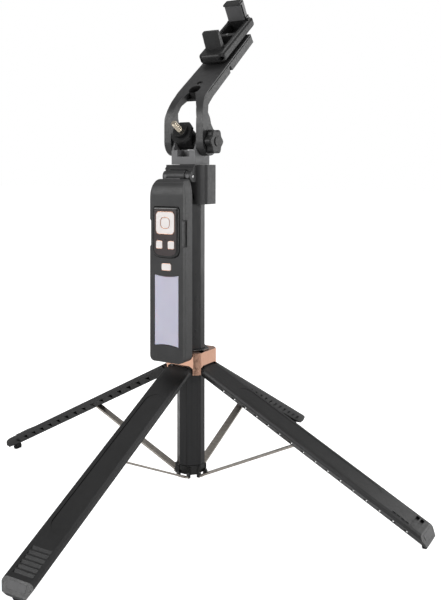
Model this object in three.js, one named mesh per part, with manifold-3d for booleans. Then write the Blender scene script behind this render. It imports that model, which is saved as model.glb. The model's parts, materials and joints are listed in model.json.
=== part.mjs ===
// Tripod selfie stick: an octagonal telescopic mast on four folding legs, with a drop-down
// fill light that carries a clip-in remote, and a tilting head with a sprung phone clamp.
// Millimetres, +Z up, origin on the ground under the mast axis. -Y is the front (light) side.

import * as THREE from 'three';
import { mergeVertices } from 'three/addons/utils/BufferGeometryUtils.js';
import Module from 'manifold-3d';

const wasm = await Module();
wasm.setup();

// ---- driving dimensions -------------------------------------------------------------------

const GAP = 0.3;                    // air between neighbouring pieces
const DIAGONAL = 0.9133;            // octagon size across the diagonals over size across the flats

const MAST_HALF = 15;               // outer tube, centre to flat
const MAST_WALL = 1.2;
const MAST_BOTTOM = 31.5;
const MAST_TOP = 346;
const SECTION_HALVES = [13.3, 11.5, 9.7, 7.9, 6.1];
const SECTION_BOTTOM = 48;
const SECTION_TOP = 350.5;

const HUB_BOTTOM = 21.6;
const HUB_TOP = MAST_BOTTOM - GAP;
const STRUT_FOOT = { r: 16.5, z: 20.3 };   // lower strut pivot, held in a slot open downwards

const HINGE_R = 17.2;               // leg hinge, distance from the mast axis
const HINGE_Z = 137;                // and its height with the legs open
const OPEN = THREE.MathUtils.degToRad(62.5);   // leg angle from the vertical
const LEG_LENGTH = 276.5;
const STRUT_ON_LEG = { s: 132, t: -0.7 };
const STRUT_LENGTH = 129.76;
const STRUT_ANGLE = THREE.MathUtils.degToRad(64.86);
const PIN_R = 1.15;
const STRUT_PIN_R = 0.75;
const EYE_R = 1.4;                  // the folded strut's eyes clear the mast

const COLLAR = { x: 22.9, y: 21.3, chamfer: 6.5, bottom: 130.3, top: 153.4, roof: 141, inner: 20.7 };
const BUSH = { inner: 15.4, outer: 17.5, flange: 19.6, bottom: 141.4, top: 155 };
const CAP = { x: 26, y: 16.4, chamfer: 6.5, bottom: 309.4, top: 351.3, roof: 346.4 };

const LIGHT_HINGE = { y: -22.5, z: 339 };
const LIGHT = { half: 20.5, bottom: 147.5, shoulder: 313, top: 336.3, front: -46.7, back: -29.2 };
const LIGHT_SPLIT = -43.2;          // front face of the rear shell
const LIGHT_WALL = 1.8;
const NECK_HALF = 9.9;
const LIGHT_TOP_HALF = 16.4;
const PANEL = { half: 14.8, bottom: 164, top: 237.5 };
const LIGHT_BUTTON = { z: 245.8, width: 11.5, height: 6.7 };
const REMOTE = { half: 16.2, bottom: 255.1, top: 307.9, front: -48.9, split: -43.9, back: -39.6 };
const SHUTTER = { z: 291.3, radius: 5.8, plate: 23 };
const SIDE_KEYS = { x: 7.3, z: 268.8, size: 7.6 };

const PIVOT_Z = 375.9;              // head pivot, axis along X at Y = 0
const BOLT_R = 2.5;
const BOLT_HOLE_R = 2.9;
const HEAD = { half: 15, front: -15, back: 14, bottom: 351.6, top: 366.9, ear: 12.6, earRadius: 10.4 };
const TILT_REST = THREE.MathUtils.degToRad(-29.4);
const TINE = { inner: 16, outer: 24.5, radius: 15 };
const KNOB = { mean: 12.6, wave: 1.3, lobes: 6 };
const ARM_SLOPE = THREE.MathUtils.degToRad(37);
const ARM_START_Z = 428;            // where the arm's top face crosses the mast axis
const ARM_THICK = 11;
const ARM_END = 130.4;              // along the arm's top face
const CLAMP = { half: 16.5, start: 58, end: 151, low: 2.4, high: 14, jawHalf: 11.8, jawTop: 35 };
const FIXED_JAW = { half: 10.4, foot: 70.5, back: 74.6, face: 77.6 };
const SWIVEL_AT = 108;
const JAW_RODS = { x: 13.2, z: 8, radius: 1.5 };

const FINISHES = {
  black_plastic: { color: 0x3b3b3d, roughness: 0.45, metalness: 0 },
  black_anodised: { color: 0x2c2c2f, roughness: 0.35, metalness: 0.8 },
  grey_plastic: { color: 0x77777a, roughness: 0.45, metalness: 0 },
  housing: { color: 0x4a4a4c, roughness: 0.5, metalness: 0 },
  rubber: { color: 0x1c1c1c, roughness: 0.9, metalness: 0 },
  steel: { color: 0xb0a8a0, roughness: 0.3, metalness: 1 },
  rose_gold: { color: 0xe8b090, roughness: 0.1, metalness: 1 },
  gold: { color: 0xd8b060, roughness: 0.25, metalness: 1 },
  diffuser: { color: 0xc5c4d5, roughness: 0.4, metalness: 0 },
  button: { color: 0xe8dcdc, roughness: 0.4, metalness: 0 },
  board: { color: 0x1f5a36, roughness: 0.6, metalness: 0 },
  cell: { color: 0xb8bcc4, roughness: 0.35, metalness: 1 },
};

// ---- solids -------------------------------------------------------------------------------

function solid(geometry) {
  const bare = geometry.clone();
  bare.deleteAttribute('normal');
  bare.deleteAttribute('uv');
  const merged = mergeVertices(bare, 1e-4);
  return new wasm.Manifold(new wasm.Mesh({
    numProp: 3,
    vertProperties: new Float32Array(merged.attributes.position.array),
    triVerts: new Uint32Array(merged.index.array),
  }));
}

function geometryOf(body) {
  const mesh = body.getMesh();
  const geometry = new THREE.BufferGeometry();
  const corners = new Float32Array(mesh.vertProperties);
  geometry.setAttribute('position', new THREE.BufferAttribute(corners, 3));
  geometry.setIndex(Array.from(mesh.triVerts));
  geometry.computeVertexNormals();
  return geometry;
}

function joined(adds, cuts = []) {
  let body = solid(adds[0]);
  for (const piece of adds.slice(1)) body = body.add(solid(piece));
  for (const piece of cuts) body = body.subtract(solid(piece));
  return geometryOf(body);
}

function box(x0, x1, y0, y1, z0, z1) {
  const geometry = new THREE.BoxGeometry(x1 - x0, y1 - y0, z1 - z0);
  return geometry.translate((x0 + x1) / 2, (y0 + y1) / 2, (z0 + z1) / 2);
}

function extruded(outline, depth) {
  const drawn = outline instanceof THREE.Shape;
  const shape = drawn ? outline : new THREE.Shape(outline.map(([u, v]) => new THREE.Vector2(u, v)));
  return new THREE.ExtrudeGeometry(shape, { depth, bevelEnabled: false, curveSegments: 6 });
}

// An outline in (x, y), standing from z0 to z1.
function prismZ(outline, z0, z1) {
  return extruded(outline, z1 - z0).translate(0, 0, z0);
}

// An outline in (y, z), running from x0 to x1.
function prismX(outline, x0, x1) {
  const turn = new THREE.Matrix4().makeBasis(
    new THREE.Vector3(0, 1, 0),
    new THREE.Vector3(0, 0, 1),
    new THREE.Vector3(1, 0, 0),
  );
  return extruded(outline, x1 - x0).applyMatrix4(turn).translate(x0, 0, 0);
}

// An outline in (x, z), running from y0 to y1.
function prismY(outline, y0, y1) {
  return extruded(outline, y1 - y0).rotateX(Math.PI / 2).translate(0, y1, 0);
}

function rodX(radius, x0, x1, y, z, sides = 24) {
  const geometry = new THREE.CylinderGeometry(radius, radius, x1 - x0, sides).rotateZ(Math.PI / 2);
  return geometry.translate((x0 + x1) / 2, y, z);
}

function rodY(radius, y0, y1, x, z, sides = 24) {
  const geometry = new THREE.CylinderGeometry(radius, radius, y1 - y0, sides);
  return geometry.translate(x, (y0 + y1) / 2, z);
}

function rodZ(radius, z0, z1, x, y, sides = 24) {
  const geometry = new THREE.CylinderGeometry(radius, radius, z1 - z0, sides).rotateX(Math.PI / 2);
  return geometry.translate(x, y, (z0 + z1) / 2);
}

function octagon(half) {
  const short = half * (DIAGONAL * Math.SQRT2 - 1);
  return [
    [half, -short], [half, short], [short, half], [-short, half],
    [-half, short], [-half, -short], [-short, -half], [short, -half],
  ];
}

function chamferedRectangle(x, y, chamfer) {
  return [
    [x, chamfer - y], [x, y - chamfer], [x - chamfer, y], [chamfer - x, y],
    [-x, y - chamfer], [-x, chamfer - y], [chamfer - x, -y], [x - chamfer, -y],
  ];
}

function arcPoints(cx, cy, radius, from, to, steps) {
  const points = [];
  for (let i = 0; i <= steps; i += 1) {
    const angle = THREE.MathUtils.degToRad(from + ((to - from) * i) / steps);
    points.push([cx + radius * Math.cos(angle), cy + radius * Math.sin(angle)]);
  }
  return points;
}

// Four copies of pieces made for the +Y side, one for each side of the mast.
function onFourSides(pieces) {
  const all = [];
  for (let quarter = 0; quarter < 4; quarter += 1) {
    for (const piece of pieces) all.push(piece.clone().rotateZ((quarter * Math.PI) / 2));
  }
  return all;
}

function part(name, finish, geometry, parent) {
  const mesh = new THREE.Mesh(geometry, new THREE.MeshStandardMaterial(FINISHES[finish]));
  mesh.name = name;
  parent.add(mesh);
  return mesh;
}

const stick = new THREE.Group();

// ---- mast ---------------------------------------------------------------------------------

function tube(half, wall, z0, z1) {
  return joined([prismZ(octagon(half), z0, z1)], [prismZ(octagon(half - wall), z0 - 1, z1 + 1)]);
}

function footHub() {
  const spigotTop = 44;
  const lug = { inner: 5.2, outer: 7.4, reach: 18.2, low: 18.6, high: 30 };
  const slotHalf = 1.25;
  const body = prismZ(octagon(MAST_HALF), HUB_BOTTOM, HUB_TOP);
  const spigot = prismZ(octagon(MAST_HALF - MAST_WALL - 0.35), HUB_TOP - 1, spigotTop);
  const lugs = onFourSides([
    box(lug.inner, lug.outer, 12, lug.reach, lug.low, lug.high),
    box(-lug.outer, -lug.inner, 12, lug.reach, lug.low, lug.high),
  ]);
  const slots = onFourSides([
    box(-8, 8, STRUT_FOOT.r - slotHalf, STRUT_FOOT.r + slotHalf, lug.low - 2, STRUT_FOOT.z + 1.4),
    box(-lug.inner, lug.inner, 13, 20, HUB_BOTTOM - 1, 26),
  ]);
  return joined([body, spigot, ...lugs], slots);
}

function topCap() {
  const lug = { inner: 10.3, outer: 17.5, radius: 6 };
  const hood = { front: -24, low: 346.2, high: 350.8 };
  const { y, z } = LIGHT_HINGE;
  const adds = [prismZ(chamferedRectangle(CAP.x, CAP.y, CAP.chamfer), CAP.bottom, CAP.top)];
  for (const x0 of [lug.inner, -lug.outer]) {
    const x1 = x0 + lug.outer - lug.inner;
    adds.push(rodX(lug.radius, x0, x1, y, z, 28));
    adds.push(box(x0, x1, y, 1 - CAP.y, z - lug.radius, hood.high));
  }
  adds.push(box(-lug.outer, lug.outer, hood.front, 1 - CAP.y, hood.low, hood.high));
  return joined(adds, [
    prismZ(octagon(MAST_HALF + 0.35), CAP.bottom - 1, CAP.roof),
    prismZ(octagon(SECTION_HALVES[0] + 0.4), CAP.bottom, CAP.top + 1),
    rodX(1.9, -lug.outer - 1, lug.outer + 1, y, z),
  ]);
}

function addMast() {
  part('mast_outer_tube', 'black_anodised', tube(MAST_HALF, MAST_WALL, MAST_BOTTOM, MAST_TOP), stick);
  part('mast_foot_hub', 'black_plastic', footHub(), stick);
  part('mast_top_cap', 'black_plastic', topCap(), stick);
  SECTION_HALVES.forEach((half, index) => {
    const section = tube(half, MAST_WALL, SECTION_BOTTOM, SECTION_TOP);
    part(`mast_section_${index + 1}`, 'black_anodised', section, stick);
  });
}

// ---- sliding collar -----------------------------------------------------------------------

function collarShell() {
  const window = 15.2;
  const arch = [
    [-window, COLLAR.bottom - 1], [window, COLLAR.bottom - 1],
    [window, 137.9], [11.2, 139.7], [-11.2, 139.7], [-window, 137.9],
  ];
  const openings = onFourSides([
    box(-window, window, 10, COLLAR.inner, COLLAR.bottom - 1, COLLAR.roof),
    prismY(arch, 10, 30),
    rodX(PIN_R + GAP, -16.1, 16.1, HINGE_R, HINGE_Z, 16),
  ]);
  return joined(
    [prismZ(chamferedRectangle(COLLAR.x, COLLAR.y, COLLAR.chamfer), COLLAR.bottom, COLLAR.top)],
    [prismZ(octagon(BUSH.outer + GAP), COLLAR.bottom - 1, COLLAR.top + 1), ...openings],
  );
}

function collarBush() {
  return joined(
    [
      prismZ(octagon(BUSH.outer), BUSH.bottom, BUSH.top),
      prismZ(octagon(BUSH.flange), COLLAR.top + GAP, BUSH.top),
    ],
    [prismZ(octagon(BUSH.inner), BUSH.bottom - 1, BUSH.top + 1)],
  );
}

function addCollar() {
  part('collar_shell', 'rose_gold', collarShell(), stick);
  part('collar_bush', 'black_plastic', collarBush(), stick);
}

// ---- legs and struts ----------------------------------------------------------------------

// In a leg's own frame x runs across it, y out of its outer face and -z down its length,
// from the hinge.
function legShell() {
  const top = 6.5;
  const wing = { start: 9.4, inner: 14.8 };   // the edges begin lower, to turn clear of the collar
  const knuckle = { inner: 9.6, outer: 13.5, radius: 3.3 };
  const section = [
    [12, 3.2], [-12, 3.2], [-15.5, 2.7], [-17.1, 1.6], [-17.2, 0.6], [-9.9, -6.7], [-8.77, -5.57],
    [-15, 0.66], [-14.2, 1.3], [14.2, 1.3], [15, 0.66], [8.77, -5.57], [9.9, -6.7],
    [17.2, 0.6], [17.1, 1.6], [15.5, 2.7],
  ];
  const end = [
    [12, 3.2], [-12, 3.2], [-15.5, 2.7], [-17.1, 1.6], [-17.2, 0.6], [-9.9, -6.7],
    [9.9, -6.7], [17.2, 0.6], [17.1, 1.6], [15.5, 2.7],
  ];
  const root = [[1.3, -2], [1.3, -8], [3.2, -8], [3.2, -4], [2.4, -2]];
  const cheek = [[-2, 0], [-3.3, 0], [-3.3, -8], [3, -8], [2.2, -5], [2.2, 0]];
  const adds = [
    prismZ(section, -LEG_LENGTH, -top),
    prismZ(end, -LEG_LENGTH, 1.8 - LEG_LENGTH),
    prismX(root, -9.7, 9.7),
  ];
  for (const side of [-1, 1]) {
    const x0 = side > 0 ? knuckle.inner : -knuckle.outer;
    adds.push(rodX(knuckle.radius, x0, x0 + knuckle.outer - knuckle.inner, 0, 0, 28));
    adds.push(prismX(cheek, x0, x0 + knuckle.outer - knuckle.inner));
  }
  const lug = { inner: 6, outer: 7.6, low: -2.6 };
  const at = -STRUT_ON_LEG.s;
  adds.push(box(lug.inner, lug.outer, lug.low, 2, at - 3, at + 3));
  adds.push(box(-lug.outer, -lug.inner, lug.low, 2, at - 3, at + 3));
  return joined(adds, [
    box(wing.inner, 18, -8, 4, -wing.start, 0),
    box(-18, -wing.inner, -8, 4, -wing.start, 0),
    rodX(PIN_R + 0.35, -20, 20, 0, 0, 16),
    rodX(STRUT_PIN_R + GAP, -9, 9, STRUT_ON_LEG.t, at, 16),
  ]);
}

// The pad's lower face is level with the ground when the leg is open.
function footPad() {
  const half = 4.3;
  const ground = (s) => (s * Math.cos(OPEN) - HINGE_Z) / Math.sin(OPEN);
  const heel = 272.8;
  const toe = 276.3;
  const outline = [
    [-5, -270.6], [-9.5, -270.6], [ground(heel), -heel], [ground(toe), -toe],
    [-7, -toe], [-7, -274.4], [-5, -274.4],
  ];
  return joined([prismX(outline, -half, half)]);
}

// In a strut's own frame the upper eye is at the origin and the strap hangs along -z.
function strut() {
  const half = 4.5;
  const thin = 1;
  return joined(
    [
      rodX(EYE_R, -half, half, 0, 0, 20),
      rodX(EYE_R, -half, half, 0, -STRUT_LENGTH, 20),
      box(-half, half, -thin, thin, -STRUT_LENGTH, 0),
      rodX(1, -7, 7, 0, -STRUT_LENGTH, 16),
    ],
    [rodX(STRUT_PIN_R + GAP, -9, 9, 0, 0, 16)],
  );
}

function addLegs() {
  const sides = { back: 0, left: 1, front: 2, right: 3 };
  const upperEye = {
    r: HINGE_R + STRUT_ON_LEG.s * Math.sin(OPEN) + STRUT_ON_LEG.t * Math.cos(OPEN),
    z: HINGE_Z - STRUT_ON_LEG.s * Math.cos(OPEN) + STRUT_ON_LEG.t * Math.sin(OPEN),
  };
  for (const [side, quarter] of Object.entries(sides)) {
    const quadrant = new THREE.Group();
    quadrant.rotation.z = (quarter * Math.PI) / 2;
    stick.add(quadrant);

    const leg = new THREE.Group();
    leg.position.set(0, HINGE_R, HINGE_Z);
    leg.rotation.x = OPEN;
    quadrant.add(leg);
    part(`leg_${side}`, 'black_plastic', legShell(), leg);
    part(`foot_pad_${side}`, 'rubber', footPad(), leg);
    const strutPin = rodX(STRUT_PIN_R, -7.4, 7.4, STRUT_ON_LEG.t, -STRUT_ON_LEG.s, 16);
    part(`strut_pin_${side}`, 'steel', joined([strutPin]), leg);
    part(`leg_hinge_pin_${side}`, 'steel', joined([rodX(PIN_R, -15.8, 15.8, 0, 0, 16)]), leg);

    const stay = new THREE.Group();
    stay.position.set(0, upperEye.r, upperEye.z);
    stay.rotation.x = -STRUT_ANGLE;
    quadrant.add(stay);
    part(`strut_${side}`, 'steel', strut(), stay);
  }
}

// ---- fill light and remote ----------------------------------------------------------------

function lightOutline(inset) {
  const half = LIGHT.half - inset;
  const low = LIGHT.bottom + inset;
  const high = LIGHT.top - inset;
  const corner = 6 - inset;
  const topHalf = LIGHT_TOP_HALF - inset;
  const shape = new THREE.Shape();
  shape.moveTo(-half + corner, low);
  shape.lineTo(half - corner, low);
  shape.quadraticCurveTo(half, low, half, low + corner);
  shape.lineTo(half, LIGHT.shoulder);
  shape.quadraticCurveTo(half, high - 5, topHalf, high);
  shape.lineTo(-topHalf, high);
  shape.quadraticCurveTo(-half, high - 5, -half, LIGHT.shoulder);
  shape.lineTo(-half, low + corner);
  shape.quadraticCurveTo(-half, low, -half + corner, low);
  return shape;
}

function lightRearShell() {
  const { y, z } = LIGHT_HINGE;
  const neckTop = LIGHT.top + 0.1;
  const neck = [
    [LIGHT.back - 1, 325], [LIGHT.back + 2, 329], [y - 1, z - 5.6],
    [y, z - 5.6], [y, neckTop], [LIGHT.back - 1, neckTop],
  ];
  return joined(
    [
      prismY(lightOutline(0), LIGHT_SPLIT, LIGHT.back),
      prismX(neck, -NECK_HALF, NECK_HALF),
      rodX(5.7, -NECK_HALF, NECK_HALF, y, z, 28),
    ],
    [
      prismY(lightOutline(LIGHT_WALL), LIGHT_SPLIT - 1, LIGHT.back - LIGHT_WALL),
      rodX(1.9, -NECK_HALF - 1, NECK_HALF + 1, y, z),
    ],
  );
}

function lightFrontShell() {
  const back = LIGHT_SPLIT - GAP;
  const tub = { half: 18.2, low: 253.2, high: 309.8, back: -37.9 };
  const floor = -39.2;
  const window = PANEL.half + GAP;
  const pocket = REMOTE.half + 0.4;
  const press = { half: LIGHT_BUTTON.width / 2 + 0.35, tall: LIGHT_BUTTON.height / 2 + 0.35 };
  return joined(
    [
      prismY(lightOutline(0), LIGHT.front, back),
      box(-tub.half, tub.half, back - 1, tub.back, tub.low, tub.high),
    ],
    [
      box(-window, window, LIGHT.front - 1, back + 1, PANEL.bottom - GAP, PANEL.top + GAP),
      box(
        -press.half, press.half, LIGHT.front - 1, back + 1,
        LIGHT_BUTTON.z - press.tall, LIGHT_BUTTON.z + press.tall,
      ),
      box(-pocket, pocket, LIGHT.front - 1, floor, REMOTE.bottom - 0.4, REMOTE.top + 0.4),
    ],
  );
}

function remoteFrontShell() {
  const wall = 1.2;
  const { half, bottom, top, front, split } = REMOTE;
  const recess = SHUTTER.plate / 2 + GAP;
  const key = SIDE_KEYS.size / 2 + GAP;
  const cuts = [
    box(-half + wall, half - wall, front + 2, split + 1, bottom + wall, top - wall),
    box(-recess, recess, front - 1, front + 0.9, SHUTTER.z - recess, SHUTTER.z + recess),
    rodY(SHUTTER.radius + GAP, front - 1, front + 3, 0, SHUTTER.z, 32),
  ];
  for (const x of [-SIDE_KEYS.x, SIDE_KEYS.x]) {
    const { z } = SIDE_KEYS;
    cuts.push(box(x - key, x + key, front - 1, front + 3, z - key, z + key));
  }
  return joined([box(-half, half, front, split, bottom, top)], cuts);
}

function remoteRearShell() {
  const wall = 1.2;
  const { half, bottom, top, back } = REMOTE;
  const front = REMOTE.split + GAP;
  return joined(
    [box(-half, half, front, back, bottom, top)],
    [box(-half + wall, half - wall, front - 1, back - wall, bottom + wall, top - wall)],
  );
}

function addLight() {
  const { y, z } = LIGHT_HINGE;
  const panelBack = LIGHT_SPLIT - 0.1;
  const keyBack = REMOTE.front + 2.2;
  const plateHalf = SHUTTER.plate / 2;
  const keyHalf = SIDE_KEYS.size / 2;
  part('light_hinge_pin', 'steel', joined([rodX(1.5, -17.2, 17.2, y, z)]), stick);
  part('light_rear_shell', 'housing', lightRearShell(), stick);
  part('light_front_shell', 'housing', lightFrontShell(), stick);
  part('light_diffuser', 'diffuser', joined([
    box(-PANEL.half, PANEL.half, LIGHT.front + 0.3, panelBack, PANEL.bottom, PANEL.top),
  ]), stick);
  part('led_board', 'board', joined([box(-16, 16, -42.6, -41.4, 160, 242)]), stick);
  part('light_battery', 'cell', joined([box(-14, 14, -39.5, -32, 165, 235)]), stick);
  part('light_button', 'button', joined([
    box(
      -LIGHT_BUTTON.width / 2, LIGHT_BUTTON.width / 2, LIGHT.front - 0.6, LIGHT.front + 2.4,
      LIGHT_BUTTON.z - LIGHT_BUTTON.height / 2, LIGHT_BUTTON.z + LIGHT_BUTTON.height / 2,
    ),
  ]), stick);

  part('remote_front_shell', 'black_plastic', remoteFrontShell(), stick);
  part('remote_rear_shell', 'black_plastic', remoteRearShell(), stick);
  part('remote_circuit_board', 'board', joined([box(-12.8, 12.8, -45.9, -44.9, 257, 306)]), stick);
  part('remote_cell', 'cell', joined([rodY(8, -44.5, -41.6, 0, 281, 32)]), stick);
  part('remote_button_plate', 'button', joined(
    [
      box(
        -plateHalf, plateHalf, REMOTE.front - 0.3, REMOTE.front + 0.6,
        SHUTTER.z - plateHalf, SHUTTER.z + plateHalf,
      ),
    ],
    [rodY(SHUTTER.radius + GAP, REMOTE.front - 2, REMOTE.front + 2, 0, SHUTTER.z, 32)],
  ), stick);
  part('remote_shutter_button', 'button', joined([
    rodY(SHUTTER.radius, REMOTE.front - 0.6, keyBack, 0, SHUTTER.z, 32),
  ]), stick);
  for (const [name, x] of [['left', -SIDE_KEYS.x], ['right', SIDE_KEYS.x]]) {
    part(`remote_${name}_button`, 'button', joined([
      box(
        x - keyHalf, x + keyHalf, REMOTE.front - 0.6, keyBack,
        SIDE_KEYS.z - keyHalf, SIDE_KEYS.z + keyHalf,
      ),
    ]), stick);
  }
}

// ---- head, tilt block and arm -------------------------------------------------------------

function mastHead() {
  const { half, front, back, bottom, top, ear, earRadius } = HEAD;
  const cheek = [[front, top - 1], [back, top - 1], ...arcPoints(0, PIVOT_Z, earRadius, 0, 180, 12)];
  return joined(
    [
      box(-half, half, front, back, bottom, top),
      rodZ(4.3, 338, bottom + 1, 0, 0),
      prismX(cheek, ear, half),
      prismX(cheek, -half, -ear),
    ],
    [
      box(-7.5, 7.5, front - 1, -4, 359.9, top + 1),
      rodX(BOLT_HOLE_R, -half - 1, half + 1, 0, PIVOT_Z),
    ],
  );
}

function pivotBolt() {
  return joined([
    rodX(BOLT_R, -26.8, 30.4, 0, PIVOT_Z),
    rodX(5.5, -26.8, -TINE.outer - GAP, 0, PIVOT_Z),
  ]);
}

// Built round the pivot, with the camera disc facing -y.
function tiltBlock() {
  return joined(
    [
      rodX(8.4, -12.2, 12.2, 0, 0, 32),
      box(-7, 7, -20, 0, -7, 7),
      rodY(12, -25.4, -19, 0, 0, 40),
    ],
    [
      rodX(BOLT_HOLE_R, -14, 14, 0, 0),
      rodY(3.4, -27, -21.8, 0, 0),
    ],
  );
}

// The arm's top face rises backwards at ARM_SLOPE and its front end splits into two tines.
function headArm() {
  const bendStartZ = 394;
  const bendEnd = 8;
  const along = (distance, depth) => [
    distance * Math.cos(ARM_SLOPE) + depth * Math.sin(ARM_SLOPE),
    ARM_START_Z + distance * Math.sin(ARM_SLOPE) - depth * Math.cos(ARM_SLOPE),
  ];
  const bend = new THREE.QuadraticBezierCurve(
    new THREE.Vector2(...along(bendEnd, 0)),
    new THREE.Vector2(-TINE.radius, ARM_START_Z - TINE.radius * Math.tan(ARM_SLOPE)),
    new THREE.Vector2(-TINE.radius, bendStartZ),
  );
  const side = [
    ...arcPoints(0, PIVOT_Z, TINE.radius, 180, 378, 24),
    [2, 395], [-2.2, 407], [1.5, 415.4],
    along(ARM_END, ARM_THICK), along(ARM_END, 0),
    ...bend.getPoints(8).map((point) => [point.x, point.y]),
  ];
  const farZ = 515;
  const spread = [
    [TINE.outer, 350], [TINE.outer, 401], [19.4, 425], [16.7, farZ],
    [-16.7, farZ], [-19.4, 425], [-TINE.outer, 401], [-TINE.outer, 350],
  ];
  const fork = [
    [TINE.inner, 340], [TINE.inner, 402], [13.5, 413], [9.5, 422], [4.5, 429], [0, 431.5],
    [-4.5, 429], [-9.5, 422], [-13.5, 413], [-TINE.inner, 402], [-TINE.inner, 340],
  ];
  const blank = solid(prismX(side, -TINE.outer, TINE.outer));
  const narrowed = blank.intersect(solid(prismY(spread, -40, 140)));
  const swivelHole = rodZ(1.9, -7.6, 1, 0, SWIVEL_AT).rotateX(ARM_SLOPE).translate(0, 0, ARM_START_Z);
  let arm = narrowed.subtract(solid(prismY(fork, -40, 24)));
  for (const cut of [
    rodX(29, -13, 13, 0, PIVOT_Z, 40),
    rodX(42, -5, 5, 0, PIVOT_Z, 48),
    rodX(BOLT_HOLE_R, -30, 30, 0, PIVOT_Z),
    swivelHole,
  ]) arm = arm.subtract(solid(cut));
  return geometryOf(arm);
}

function pivotKnob() {
  const steps = 48;
  const outline = [];
  for (let i = 0; i < steps; i += 1) {
    const angle = (i / steps) * Math.PI * 2;
    const radius = KNOB.mean + KNOB.wave * Math.cos(KNOB.lobes * angle);
    outline.push([radius * Math.cos(angle), PIVOT_Z + radius * Math.sin(angle)]);
  }
  return joined([prismX(outline, TINE.outer + 0.5, 33)], [rodX(BOLT_HOLE_R, 20, 31, 0, PIVOT_Z)]);
}

function addHead() {
  part('mast_head', 'grey_plastic', mastHead(), stick);
  part('pivot_bolt', 'steel', pivotBolt(), stick);
  part('head_arm', 'black_plastic', headArm(), stick);
  part('pivot_knob', 'black_plastic', pivotKnob(), stick);

  const tilt = new THREE.Group();
  tilt.position.z = PIVOT_Z;
  tilt.rotation.x = TILT_REST;
  stick.add(tilt);
  part('tilt_block', 'black_plastic', tiltBlock(), tilt);
  part('camera_screw', 'gold', joined([rodY(3.1, -38.6, -22.1, 0, 0)]), tilt);
}

// ---- phone clamp --------------------------------------------------------------------------

// In the clamp's own frame y runs along the arm's top face and z stands off it.
function clampFrame() {
  const { half, start, end, low, high, jawTop } = CLAMP;
  const { foot, back, face } = FIXED_JAW;
  const jaw = [[foot, high - 2], [back, jawTop], [face, jawTop], [face, high - 2]];
  const cuts = [
    box(-10, 10, 82, 105, low - 1, high + 1),
    box(-10, 10, 111, 135, low - 1, high + 1),
    rodZ(1.9, low - 1, high + 1, 0, SWIVEL_AT),
  ];
  for (const x of [-JAW_RODS.x, JAW_RODS.x]) {
    cuts.push(rodY(JAW_RODS.radius + 0.4, 84, end + 1, x, JAW_RODS.z, 16));
    cuts.push(box(x - 1.4, x + 1.4, 137, end + 1, JAW_RODS.z, high + 1));
  }
  const jawBody = prismX(jaw, -FIXED_JAW.half, FIXED_JAW.half);
  return joined([box(-half, half, start, end, low, high), jawBody], cuts);
}

function clampJaw() {
  const { high, jawHalf, jawTop } = CLAMP;
  const foot = high + GAP;
  const back = 145;
  const face = 139.6;
  const outline = [[face, foot], [back, foot], [back + 1.6, jawTop], [face + 1.2, jawTop]];
  const adds = [
    prismX(outline, -jawHalf, jawHalf),
    box(-14.2, 14.2, face, back, foot, foot + 3),
  ];
  for (const x of [-JAW_RODS.x, JAW_RODS.x]) {
    adds.push(box(x - 1, x + 1, face, back, JAW_RODS.z, foot + 1));
    adds.push(rodY(JAW_RODS.radius, 86, back, x, JAW_RODS.z, 16));
  }
  return joined(adds);
}

function addClamp() {
  const { high, jawHalf, jawTop } = CLAMP;
  const clamp = new THREE.Group();
  clamp.position.z = ARM_START_Z;
  clamp.rotation.x = ARM_SLOPE;
  stick.add(clamp);
  part('clamp_frame', 'black_plastic', clampFrame(), clamp);
  part('clamp_jaw', 'black_plastic', clampJaw(), clamp);
  part('clamp_pad_fixed', 'grey_plastic', joined([
    box(1 - FIXED_JAW.half, FIXED_JAW.half - 1, FIXED_JAW.face + GAP, 80, high + 1, jawTop - 1),
  ]), clamp);
  const slidingFace = [
    [137.3, high + 1], [139.25, high + 1], [140.45, jawTop - 1], [138.5, jawTop - 1],
  ];
  part('clamp_pad_sliding', 'grey_plastic', joined([prismX(slidingFace, 1 - jawHalf, jawHalf - 1)]), clamp);
  part('clamp_swivel_screw', 'steel', joined([
    rodZ(1.5, -7, 13.6, 0, SWIVEL_AT),
    rodZ(6, GAP, 2.1, 0, SWIVEL_AT),
  ]), clamp);
}

addMast();
addCollar();
addLegs();
addLight();
addHead();
addClamp();

export default stick;
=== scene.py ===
"""Looks of a tripod selfie stick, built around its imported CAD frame."""

import json
import math

import bmesh
import bpy
from mathutils import Matrix, Vector


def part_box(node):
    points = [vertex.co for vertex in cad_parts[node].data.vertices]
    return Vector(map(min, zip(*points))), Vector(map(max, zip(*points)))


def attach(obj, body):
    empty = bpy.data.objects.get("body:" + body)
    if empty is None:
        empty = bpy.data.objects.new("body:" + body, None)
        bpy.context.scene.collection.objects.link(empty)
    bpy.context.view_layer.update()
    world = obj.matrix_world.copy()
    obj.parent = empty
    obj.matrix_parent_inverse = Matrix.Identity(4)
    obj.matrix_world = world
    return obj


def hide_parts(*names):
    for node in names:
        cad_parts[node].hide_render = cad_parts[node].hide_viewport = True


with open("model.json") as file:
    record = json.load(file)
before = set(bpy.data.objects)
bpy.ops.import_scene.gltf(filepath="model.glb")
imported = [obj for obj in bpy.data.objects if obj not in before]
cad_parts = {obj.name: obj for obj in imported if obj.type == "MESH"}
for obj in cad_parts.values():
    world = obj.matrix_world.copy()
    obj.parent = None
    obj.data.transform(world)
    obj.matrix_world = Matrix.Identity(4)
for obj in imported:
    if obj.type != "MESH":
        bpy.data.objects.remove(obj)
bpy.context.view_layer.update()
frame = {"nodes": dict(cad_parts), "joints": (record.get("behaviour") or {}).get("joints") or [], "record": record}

nodes = frame["nodes"]
record = frame["record"]
joints = {joint["name"]: joint for joint in frame["joints"]}
body_of = {node: body for body, names in record["behaviour"]["bodies"].items() for node in names}
slot_of = {row["node"]: row["material_slot"] for row in record["subparts"]}
MM = 0.001
SIDES = {"back": 0, "left": 1, "front": 2, "right": 3}
SHARP = 38  # degrees: flatter edges than this are shaded smooth
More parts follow.
